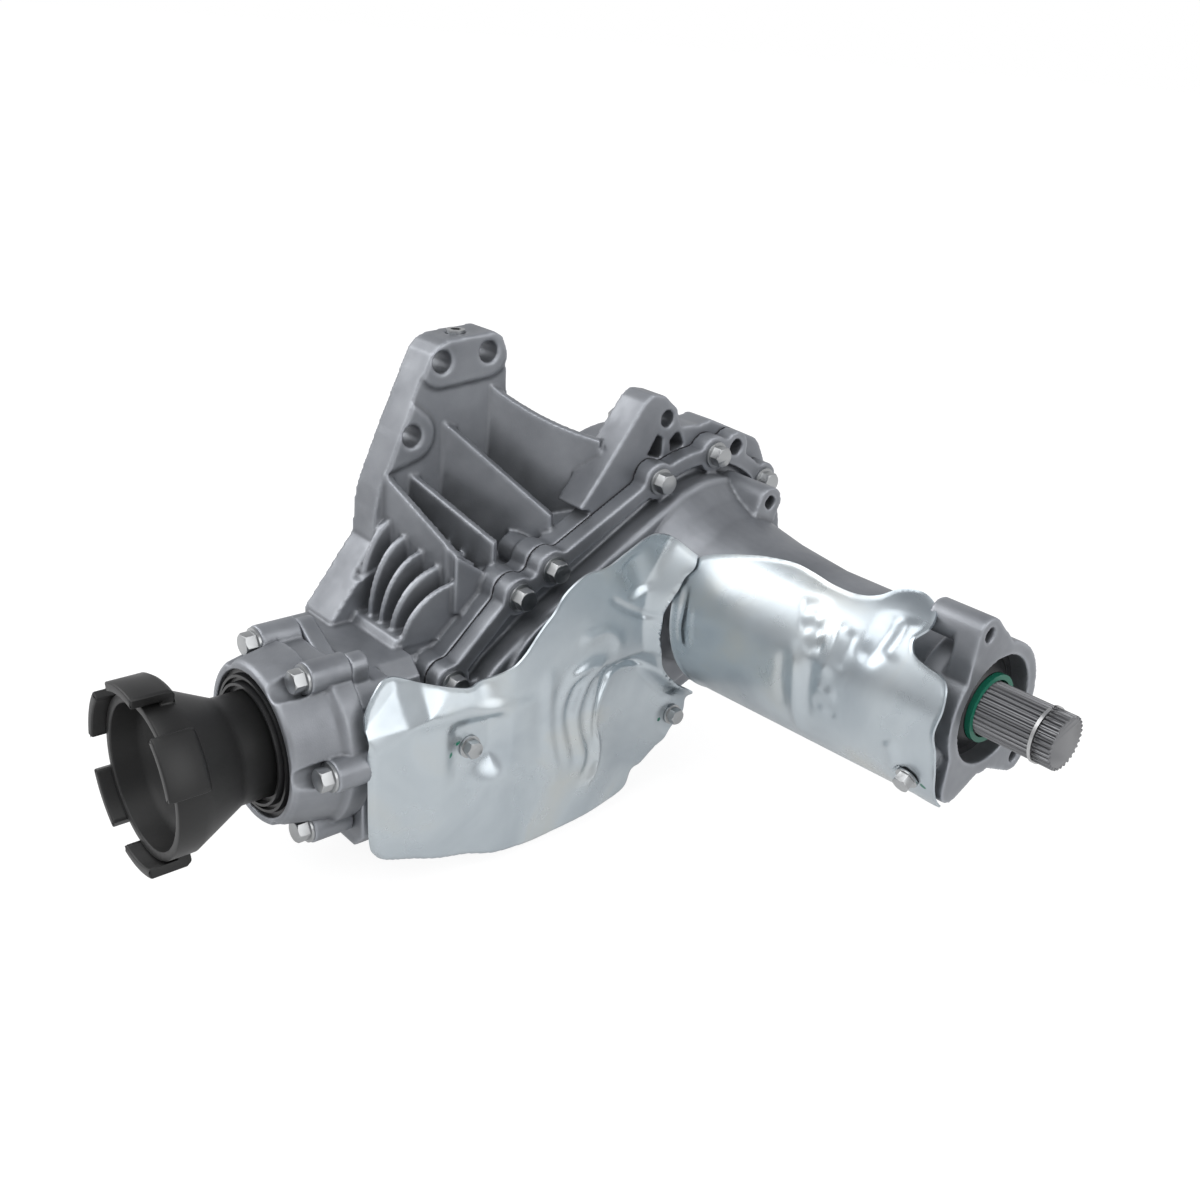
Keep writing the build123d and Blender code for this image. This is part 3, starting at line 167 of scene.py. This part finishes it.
# Tube heat shield: outline as (X, degrees about the input axis), and its wrinkles
tube_spacing = 1.6
tube_edge = [
    (146, 152), (152.3, 144), (163.5, 138.7), (176, 134), (189.2, 129.7), (207.5, 126.1), (221.7, 126.5),
    (236.5, 128.1), (252.3, 127.5), (263, 123), (270, 114), (280, 110), (290, 113), (296.5, 120),
    (298.5, 128), (295.3, 136), (297.7, 141.7), (302.5, 144.6), (310.3, 146.4), (318, 147.8),
    (323.1, 151.8), (325.9, 162.4), (325, 175.3), (328, 185.2), (328.6, 197.7), (326.6, 212), (325, 222),
    (324, 232)]
tube_foot = [(316, 239), (300, 246), (146, 246), (144, 215), (144, 180), (144, 160), (146, 152)]
tube_wrinkles = [
    ([(226, 146), (235, 142), (243, 144)], -0.9, 4.4),
    ([(231, 156), (239, 152), (247, 154)], -0.9, 4.2),
    ([(239, 165), (245, 160), (251, 160)], -0.8, 4.0),
    ([(252, 142), (256, 152), (256, 164), (252, 176)], 1.0, 4.0),
    ([(262, 144), (263, 156), (261, 168)], -0.8, 4.0),
    ([(276, 126), (279, 136), (278, 148), (273, 160)], -1.8, 6.0),
    ([(287, 126), (289, 138), (287, 152)], 1.0, 5.0),
    ([(233, 160), (236, 174), (238, 190), (238, 208), (237, 226)], 1.4, 4.2),
    ([(228, 168), (229, 184), (229, 204)], -0.8, 4.0),
    ([(246, 166), (247, 182), (246, 204)], -1.0, 4.0),
    ([(250, 178), (258, 182), (266, 180)], 0.9, 3.4),
    ([(250, 192), (258, 188), (267, 194)], -0.8, 3.4),
    ([(151, 158), (152, 172), (151, 186), (152, 200)], -1.3, 2.6),
    ([(157, 166), (159, 182), (158, 198)], 0.8, 2.6),
    ([(298, 190), (303, 198), (303, 214)], 1.6, 4.5),
]
tube_shield_start = (144.0, 63.0)
tube_shield_end = (325.0, 58.0)
tube_mean_r = 60.0
tube_bolt = (311.0, 210.0)
tube_seat_r = 8

# Green paint dabs beside the shield bolts: place and radius in metres
dab_green = (0.0, 0.17, 0.10)
paint_dabs = [((0.131, -0.2075, -0.0535), 0.0018), ((0.131, -0.2030, -0.0480), 0.0026),
              ((0.130, -0.0485, -0.0815), 0.0017), ((0.320, -0.0505, -0.0315), 0.0022)]

# Studio: lamps with their place, size and power, all aimed at one spot, then the floor and the room
lamp_aim = (0.12, -0.12, 0.02)
lamps = [("key", (0.3, -1.0, 1.6), 1.6, 15), ("fill", (1.6, 0.3, 0.9), 1.4, 9),
         ("rim", (-1.0, -0.9, 0.9), 1.0, 8)]
floor_size = 60.0
floor_centre = (0.1, -0.1)
floor_gap = 0.0005
floor_colour = (0.8, 0.8, 0.8)
floor_glow = 1.25
floor_seen_share = 0.72
floor_mirrored_share = 0.25
room_strength = 0.75
room_tones = [(0.45, (0.28, 0.28, 0.29)), (0.62, (0.95, 0.95, 0.96)), (0.95, (0.5, 0.51, 0.53))]


# Materials
class Nodes:
    """The node tree of a material or a world, with a few shorthand calls."""

    def __init__(self, owner):
        owner.use_nodes = True
        self.tree = owner.node_tree

    def feed(self, socket, source):
        """Links a source into a socket, or sets the socket where the source is a plain value."""
        if isinstance(source, bpy.types.NodeSocket):
            self.tree.links.new(source, socket)
        else:
            socket.default_value = source

    def node(self, kind, inputs=None, **settings):
        """A node of a kind, with its settings and with what goes into its sockets."""
        made = self.tree.nodes.new("ShaderNode" + kind)
        for key, value in settings.items():
            setattr(made, key, value)
        for key, source in (inputs or {}).items():
            self.feed(made.inputs[key], source)
        return made

    def ramp(self, source, stops):
        """A colour ramp over (position, colour) stops."""
        made = self.node("ValToRGB", {"Fac": source})
        elements = made.color_ramp.elements
        while len(elements) < len(stops):
            elements.new(0.5)
        for element, (position, colour) in zip(elements, stops):
            element.position = position
            element.color = (*colour, 1)
        return made.outputs["Color"]

    def remap(self, source, low, high, out_low, out_high):
        """A value carried from one range to another."""
        made = self.node("MapRange", {"Value": source, "From Min": low, "From Max": high,
                                      "To Min": out_low, "To Max": out_high})
        return made.outputs["Result"]


class Paint(Nodes):
    """A principled material."""

    def __init__(self, name, colour, metallic, roughness):
        self.material = bpy.data.materials.new(name)
        super().__init__(self.material)
        self.sockets = self.tree.nodes["Principled BSDF"].inputs
        self.feed(self.sockets["Base Color"], (*colour, 1))
        self.feed(self.sockets["Metallic"], metallic)
        self.feed(self.sockets["Roughness"], roughness)

    def place(self):
        return self.node("TexCoord").outputs["Object"]

    def noise(self, scale, detail, distortion=0.0):
        """Noise of a given scale per metre, from 0 to 1."""
        made = self.node("TexNoise", {"Vector": self.place(), "Scale": scale, "Detail": detail,
                                      "Distortion": distortion})
        return made.outputs["Fac"]

    def bump(self, source, distance, strength):
        made = self.node("Bump", {"Height": source, "Distance": distance, "Strength": strength})
        self.feed(self.sockets["Normal"], made.outputs["Normal"])

    def cover(self, name, share, value):
        """Mixes a value over what a socket of the shader has."""
        socket = self.sockets[name]
        coloured = socket.type == "RGBA"
        below, above, result = (6, 7, 2) if coloured else (2, 3, 0)
        had = socket.links[0].from_socket if socket.is_linked else socket.default_value
        mix = self.node("Mix", {0: share, below: had, above: value}, data_type="RGBA" if coloured else "FLOAT")
        self.feed(socket, mix.outputs[result])

    def dab(self, centre, radius, colour):
        """A ragged dab of paint round a point, in metres."""
        gap = self.node("VectorMath", {0: self.place(), 1: centre}, operation="DISTANCE")
        ragged = self.node("Math", {0: self.noise(420, 2), 1: radius * 1.2, 2: gap.outputs["Value"]},
                           operation="MULTIPLY_ADD")
        share = self.remap(ragged.outputs[0], radius * 1.5, radius * 1.7, 1, 0)
        self.cover("Base Color", share, (*colour, 1))
        self.cover("Metallic", share, 0.0)


def cast_paint():
    """As-cast aluminium: matt grey with a fine grain and faint stains, lighter on its edges as wear and
    painted highlight, and darker in its hollows and fillets as painted shade.
    """
    paint = Paint("cast_aluminium", (0.33, 0.33, 0.33), 0.72, 0.42)
    stain = paint.ramp(paint.noise(28, 4), [(0.3, (0.225, 0.236, 0.256)), (0.7, (0.32, 0.333, 0.357))])
    # Pointiness scales the stained colour: painted shade darkens hollows and fillets, and edges are lightened
    # as wear and painted highlight
    hollow_shade_and_edge_light = paint.remap(paint.node("NewGeometry").outputs["Pointiness"], 0.46, 0.56, 0.62, 1.5)
    stains_wear_and_painted_light = paint.node("VectorMath", {0: stain, "Scale": hollow_shade_and_edge_light}, operation="SCALE")
    paint.feed(paint.sockets["Base Color"], stains_wear_and_painted_light.outputs["Vector"])
    paint.feed(paint.sockets["Roughness"], paint.remap(paint.noise(90, 2), 0.3, 0.7, 0.38, 0.52))
    paint.bump(paint.noise(1400, 2), 0.00012, 0.6)
    return paint.material


def zinc_paint():
    """Galvanised sheet: bright, with cloudy patches and dabs of paint beside its bolts."""
    paint = Paint("zinc_sheet", (0.62, 0.66, 0.69), 1.0, 0.24)
    clouds = [(0.3, (0.43, 0.48, 0.52)), (0.55, (0.55, 0.60, 0.63)), (0.75, (0.60, 0.61, 0.58))]
    paint.feed(paint.sockets["Base Color"], paint.ramp(paint.noise(14, 4, distortion=0.6), clouds))
    paint.feed(paint.sockets["Roughness"], paint.remap(paint.noise(40, 3), 0.3, 0.7, 0.24, 0.38))
    paint.bump(paint.noise(60, 2), 0.0004, 0.3)
    for centre, radius in paint_dabs:
        paint.dab(centre, radius, dab_green)
    return paint.material


def plain_paint(name, colour, metallic, roughness, grain=0.0):
    """One even colour, with a fine grain where one is given."""
    paint = Paint(name, colour, metallic, roughness)
    if grain:
        paint.bump(paint.noise(900, 2), grain, 0.5)
    return paint.material


# Name, colour, metallic, roughness and grain of the plain materials
plain_paints = [
    ("machined_steel", (0.55, 0.55, 0.55), 1.0, 0.3, 0.0),
    ("shaft_steel", (0.21, 0.212, 0.22), 1.0, 0.34, 0.00003),
    ("plated_bolt", (0.44, 0.45, 0.455), 1.0, 0.3, 0.00003),
    ("black_steel", (0.013, 0.013, 0.013), 0.1, 0.42, 0.00005),
    ("seal_rubber", (0.012, 0.012, 0.013), 0.0, 0.35, 0.0),
    ("green_rubber", (0.01, 0.16, 0.10), 0.0, 0.45, 0.0),
    ("gasket_coat", (0.04, 0.04, 0.045), 0.0, 0.6, 0.0),
    ("black_plastic", (0.03, 0.03, 0.033), 0.0, 0.5, 0.0),
]
paints = {"cast_aluminium": cast_paint(), "zinc_sheet": zinc_paint()}
paints.update({row[0]: plain_paint(*row) for row in plain_paints})


# Pieces
def paint_over(piece, slot_name):
    piece.data.materials.clear()
    piece.data.materials.append(paints[slot_name])


def dress(piece, node):
    """Gives a piece the paint, the record slot and the body of the CAD node that it replaces."""
    paint_over(piece, node_slot[node])
    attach(piece, node_body[node])
    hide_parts(node)


def new_piece(name, mesh):
    piece = bpy.data.objects.new(name, mesh)
    bpy.context.scene.collection.objects.link(piece)
    return piece


def welded_copy(node):
    """A copy of a CAD node's mesh with its seams closed."""
    piece = new_piece(node + "_dressed", nodes[node].data.copy())
    work = bmesh.new()
    work.from_mesh(piece.data)
    bmesh.ops.remove_doubles(work, verts=work.verts, dist=weld_gap)
    work.to_mesh(piece.data)
    work.free()
    return piece


def settle(piece):
    """Applies a piece's modifiers."""
    graph = bpy.context.evaluated_depsgraph_get()
    mesh = bpy.data.meshes.new_from_object(piece.evaluated_get(graph))
    piece.modifiers.clear()
    piece.data = mesh


def bevelled(node, width, segments):
    """A CAD node with its sharp edges rounded."""
    piece = welded_copy(node)
    bevel = piece.modifiers.new("round", "BEVEL")
    bevel.width = width
    bevel.segments = segments
    bevel.limit_method = "ANGLE"
    bevel.angle_limit = round_from
    settle(piece)
    piece.data.set_sharp_from_angle(angle=sharp_from)
    dress(piece, node)


def cast(node, voxel, passes):
    """A CAD node with the fillets of a casting on every edge and corner."""
    piece = welded_copy(node)
    remesh = piece.modifiers.new("cast", "REMESH")
    remesh.mode = "VOXEL"
    remesh.voxel_size = voxel
    remesh.use_smooth_shade = True
    soften = piece.modifiers.new("fillet", "SMOOTH")
    soften.factor = fillet_factor
    soften.iterations = passes
    settle(piece)
    dress(piece, node)


# Lines on a flat sheet
def curve(points, step):
    """Points along a smooth curve through the given ones, about a step apart."""
    points = [np.array(point, float) for point in points]
    result = []
    for index, (start, end) in enumerate(zip(points, points[1:])):
        before = points[index - 1] if index else 2 * start - end
        after = points[index + 2] if index + 2 < len(points) else 2 * end - start
        pull = end - before
        bend = 2 * before - 5 * start + 4 * end - after
        twist = 3 * start - before - 3 * end + after
        pieces = max(1, int(np.linalg.norm(end - start) / step))
        for t in np.arange(pieces) / pieces:
            result.append(0.5 * (2 * start + pull * t + bend * t * t + twist * t ** 3))
    result.append(points[-1])
    return np.array(result)


def straight(points, step):
    """Points along straight runs between the given ones, about a step apart, without the last."""
    result = []
    for start, end in zip(points, points[1:]):
        pieces = max(1, int(math.dist(start, end) / step))
        result += [np.array(start) + (np.array(end) - np.array(start)) * k / pieces for k in range(pieces)]
    return np.array(result)


def nearest(points, line, closed=False):
    """For each point: distance to a line, side of it, and the share of its length."""
    start = line if closed else line[:-1]
    end = np.roll(line, -1, axis=0) if closed else line[1:]
    run = end - start
    length = np.hypot(run[:, 0], run[:, 1]) + 1e-9
    offset = points[:, None, :] - start[None]
    along = np.clip((offset * run[None]).sum(2) / length ** 2, 0, 1)
    gap = offset - along[:, :, None] * run[None]
    distance = np.hypot(gap[:, :, 0], gap[:, :, 1])
    best = distance.argmin(1)
    row = np.arange(len(points))
    side = np.sign(run[best, 0] * offset[row, best, 1] - run[best, 1] * offset[row, best, 0])
    reach = np.concatenate([[0], np.cumsum(length)])
    share = (reach[best] + along[row, best] * length[best]) / reach[-1]
    return distance[row, best], side, share


def inside(points, loop):
    """Which points lie within a closed loop."""
    start, end = loop, np.roll(loop, -1, axis=0)
    above = (start[None, :, 1] > points[:, None, 1]) != (end[None, :, 1] > points[:, None, 1])
    rise = end[:, 1] - start[:, 1]
    rise[rise == 0] = 1e-9
    share = (points[:, None, 1] - start[None, :, 1]) / rise[None]
    cross = start[None, :, 0] + share * (end - start)[None, :, 0]
    return (above & (points[:, None, 0] < cross)).sum(1) % 2 == 1


def smooth_step(value, low, high):
    """From 0 at low to 1 at high, with a soft start and end."""
    share = np.clip((value - low) / (high - low), 0, 1)
    return share * share * (3 - 2 * share)


def stepped(value, rise, low, high):
    return rise * smooth_step(value, low, high)


def hump(distance, height, width):
    """A rounded rise that fades with the distance."""
    return height * np.exp(-(distance / width) ** 2)


def fold(points, path, height, width):
    """A rounded ridge, or a valley where the height is negative, that fades out at both ends of its path."""
    distance, _, share = nearest(points, curve(path, 3.0))
    fade = smooth_step(share, 0, fold_fade) * smooth_step(1 - share, 0, fold_fade)
    return fade * hump(distance, height, width)


# Pressed sheets
def pressed_sheet(name, loop, spacing, form, node):
    """A sheet over a flat loop, carried by form() to its shape, in millimetres."""
    low, high = loop.min(0), loop.max(0)
    rows = []
    for index, level in enumerate(np.arange(low[1], high[1], spacing * 0.866)):
        across = np.arange(low[0] + (index % 2) * spacing / 2, high[0], spacing)
        rows.append(np.stack([across, np.full(len(across), level)], 1))
    grid = np.concatenate(rows)
    grid = grid[inside(grid, loop)]
    grid = grid[nearest(grid, loop, True)[0] > 0.55 * spacing]
    flat = [Vector(point) for point in np.concatenate([loop, grid])]
    made = geometry.delaunay_2d_cdt(flat, [], [list(range(len(loop)))], 1, 1e-4)
    flat = np.array([tuple(point) for point in made[0]])
    mesh = bpy.data.meshes.new(name)
    mesh.from_pydata((form(flat) * mm).tolist(), [], [tuple(face) for face in made[2]])
    mesh.shade_smooth()
    piece = new_piece(name, mesh)
    normals = np.array([polygon.normal[:] for polygon in mesh.polygons])
    if (normals[:, 0] - normals[:, 1]).mean() < 0:
        mesh.flip_normals()
    solid = piece.modifiers.new("sheet", "SOLIDIFY")
    solid.thickness = sheet * mm
    solid.offset = -1
    settle(piece)
    piece.data.set_sharp_from_angle(angle=sheet_sharp_from)
    dress(piece, node)


def pan_relief(y, z):
    """Height of the pan over its plane, with the shelf above its crease, its pocket and its free corner."""
    below = smooth_step(-z, *crease_depth)
    pan = stepped(y, *left_step) + stepped(y, *middle_step) + stepped(y, *right_fall)
    pan += stepped(y, *bay_fall) * smooth_step(-z, *bay_fade_depth)
    shelf = stepped(y, *shelf_step) - shelf_slope * np.clip(z - shelf_slope_z, 0, None)
    shelf = shelf * smooth_step(-y, *shelf_fade) + stepped(y, *shelf_end_step)
    pan = pan * below + (1 - below) * shelf
    across = np.abs(y - (lower_bolt[0] + pocket_shift))
    pocket = smooth_step(-across, *pocket_side) * smooth_step(-z, *pocket_top) * smooth_step(z, *pocket_foot)
    pan = pan * (1 - pocket)
    for bolt, seat in ((lower_bolt, lower_seat), (corner_bolt, corner_seat)):
        pan = pan * smooth_step(np.hypot(y - bolt[0], z - bolt[1]), *seat)
    from_corner = (y - fall_corner[0]) * fall_way[0] + (z - fall_corner[1]) * fall_way[1]
    fall = fall_slope * np.clip(fall_reach - from_corner, 0, fall_reach)
    return pan - fall * smooth_step(-y, *fall_fade_y) * smooth_step(z, *fall_fade_z)


def lower_form(flat):
    """The lower shield: a stepped pan that runs up into the collar round the cone."""
    y, z = flat[:, 0], flat[:, 1]
    pan = pan_x + pan_relief(y, z)
    collar = collar_end_x - (np.hypot(y, z) - collar_inner_r) * collar_slope
    gap = np.clip(collar_blend - np.abs(pan - collar), 0, None) / collar_blend
    level = np.maximum(pan, collar) + gap * gap * collar_blend / 4
    for path, height, width in lower_folds:
        level = level + fold(flat, path, height, width)
    distance, side, share = nearest(flat, curve(lap_line, 2.0))
    over = smooth_step(-side * distance, -lap_width, lap_width)
    lap = over * hump(distance, *lap_plate) + (1 - over) * hump(distance, *lap_pan)
    level = level + lap * smooth_step(share, 0, lap_fade)

    # Bent rim along the free sides, and a fine lip along the top
    rim = nearest(flat, lower_loop, True)[0]
    top = nearest(flat, curve(lower_top_edge, 2.0))[0]
    corner = np.hypot(y - corner_bolt[0], z - corner_bolt[1])
    turn = np.clip(rim_bend - rim, 0, rim_bend)
    bend = rim_bend - np.sqrt(np.clip(rim_bend ** 2 - turn ** 2, 0, None))
    level = level - bend * smooth_step(top, *rim_from_top) * smooth_step(corner, *rim_from_corner)
    level = level + hump(top, *lower_lip)
    return np.stack([level, y, z], 1)


def on_arc(station, degrees):
    """A place on the tube shield laid flat: X and the arc length at the mean radius."""
    return (station, math.radians(degrees) * tube_mean_r)


def tube_form(flat):
    """The tube shield: a half shell with wrinkles; flat points are as from on_arc."""
    station, arc = flat[:, 0], flat[:, 1]
    share = (station - tube_shield_start[0]) / (tube_shield_end[0] - tube_shield_start[0])
    radius = tube_shield_start[1] + share * (tube_shield_end[1] - tube_shield_start[1])
    for path, height, width in tube_wrinkles:
        radius = radius + fold(flat, [on_arc(*point) for point in path], height, width)
    radius = radius + hump(nearest(flat, tube_loop, True)[0], *tube_lip)
    bolt = np.hypot(*(flat - np.array(on_arc(*tube_bolt))).T)
    radius = np.where(bolt < tube_seat_r, np.minimum(radius, tube_shield_end[1]), radius)
    turn = arc / tube_mean_r
    return np.stack([station, radius * np.cos(turn), radius * np.sin(turn)], 1)


# Studio
def stage_floor():
    """The floor just under the part."""
    mesh = bpy.data.meshes.new("floor")
    half = floor_size / 2
    corners = [(-half, -half, 0), (half, -half, 0), (half, half, 0), (-half, half, 0)]
    mesh.from_pydata(corners, [], [(0, 1, 2, 3)])
    plane = new_piece("floor", mesh)
    plane.location = (*floor_centre, cad_bounds[0][2] - floor_gap)
    plane.data.materials.append(floor_paint())


def floor_paint():
    """A pale floor, white to the camera and paler in the metal, that keeps a faint shadow."""
    material = bpy.data.materials.new("floor")
    paint = Nodes(material)
    paint.tree.nodes.clear()
    rays = paint.node("LightPath").outputs
    seen = paint.node("Math", {0: rays["Is Camera Ray"], 1: floor_seen_share}, operation="MULTIPLY")
    mirrored = paint.node("Math", {0: rays["Is Glossy Ray"], 1: rays["Is Transmission Ray"]},
                          operation="MAXIMUM")
    share = paint.node("Math", {0: mirrored.outputs[0], 1: floor_mirrored_share, 2: seen.outputs[0]},
                       operation="MULTIPLY_ADD")
    diffuse = paint.node("BsdfDiffuse", {"Color": (*floor_colour, 1)})
    glow = paint.node("Emission", {"Strength": floor_glow})
    mix = paint.node("MixShader", {0: share.outputs[0], 1: diffuse.outputs[0], 2: glow.outputs[0]})
    paint.node("OutputMaterial", {"Surface": mix.outputs[0]})
    return material


def area_light(name, place, size, power):
    light = bpy.data.lights.new(name, "AREA")
    light.shape = "SQUARE"
    light.size = size
    light.energy = power
    lamp = bpy.data.objects.new(name, light)
    bpy.context.scene.collection.objects.link(lamp)
    lamp.location = place
    lamp.rotation_euler = (Vector(lamp_aim) - Vector(place)).to_track_quat("-Z", "Y").to_euler()


def room():
    """The world: white to the camera, and a room with a bright horizon to everything else."""
    world = bpy.data.worlds.new("studio")
    bpy.context.scene.world = world
    paint = Nodes(world)
    paint.tree.nodes.clear()
    way = paint.node("TexCoord").outputs["Generated"]
    upward = paint.node("SeparateXYZ", {0: way}).outputs["Z"]
    tone = paint.ramp(paint.remap(upward, -1, 1, 0, 1), room_tones)
    around = paint.node("Background", {"Color": tone, "Strength": room_strength})
    back = paint.node("Background", {"Color": (1, 1, 1, 1)})
    seen = paint.node("LightPath").outputs["Is Camera Ray"]
    mix = paint.node("MixShader", {0: seen, 1: around.outputs[0], 2: back.outputs[0]})
    paint.node("OutputWorld", {"Surface": mix.outputs[0]})


def camera():
    """The photograph's camera, from its azimuth, elevation and roll."""
    around, above, roll = (math.radians(v) for v in (camera_azimuth, camera_elevation, camera_roll))
    right = Vector((math.cos(around), math.sin(around), 0))
    back = Vector((math.sin(around) * math.cos(above), -math.cos(around) * math.cos(above), math.sin(above)))
    up = back.cross(right)
    turned_right = math.cos(roll) * right + math.sin(roll) * up
    turned_up = -math.sin(roll) * right + math.cos(roll) * up
    lens = bpy.data.cameras.new("camera")
    lens.lens = camera_lens
    lens.sensor_width = camera_sensor
    lens.clip_start = camera_near
    eye = bpy.data.objects.new("camera", lens)
    bpy.context.scene.collection.objects.link(eye)
    turn = Matrix((turned_right, turned_up, back)).transposed()
    eye.matrix_world = Matrix.Translation(camera_place) @ turn.to_4x4()
    bpy.context.scene.camera = eye


lower_loop = np.concatenate([
    curve(lower_top_edge, lower_spacing)[:-1],
    curve([lower_top_edge[-1]] + lower_inner_edge, lower_spacing)[:-1],
    curve([lower_inner_edge[-1]] + lower_foot_edge + [lower_top_edge[0]], lower_spacing)[:-1]])
tube_loop = np.concatenate([
    curve([on_arc(*point) for point in tube_edge], tube_spacing)[:-1],
    straight([on_arc(*point) for point in tube_edge[-1:] + tube_foot], tube_spacing)])
pressed_sheet("lower_shield_dressed", lower_loop, lower_spacing, lower_form, "lower_heat_shield")
pressed_sheet("tube_shield_dressed", tube_loop, tube_spacing, tube_form, "tube_heat_shield")
for name, node in nodes.items():
    paint_over(node, node_slot[name])
for name, voxel, passes in castings:
    cast(name, voxel, passes)
for name, width, segments in rounded:
    bevelled(name, width, segments)

stage_floor()
for lamp in lamps:
    area_light(*lamp)
room()
bpy.context.scene.view_settings.view_transform = "Standard"
camera()
bpy.context.view_layer.update()
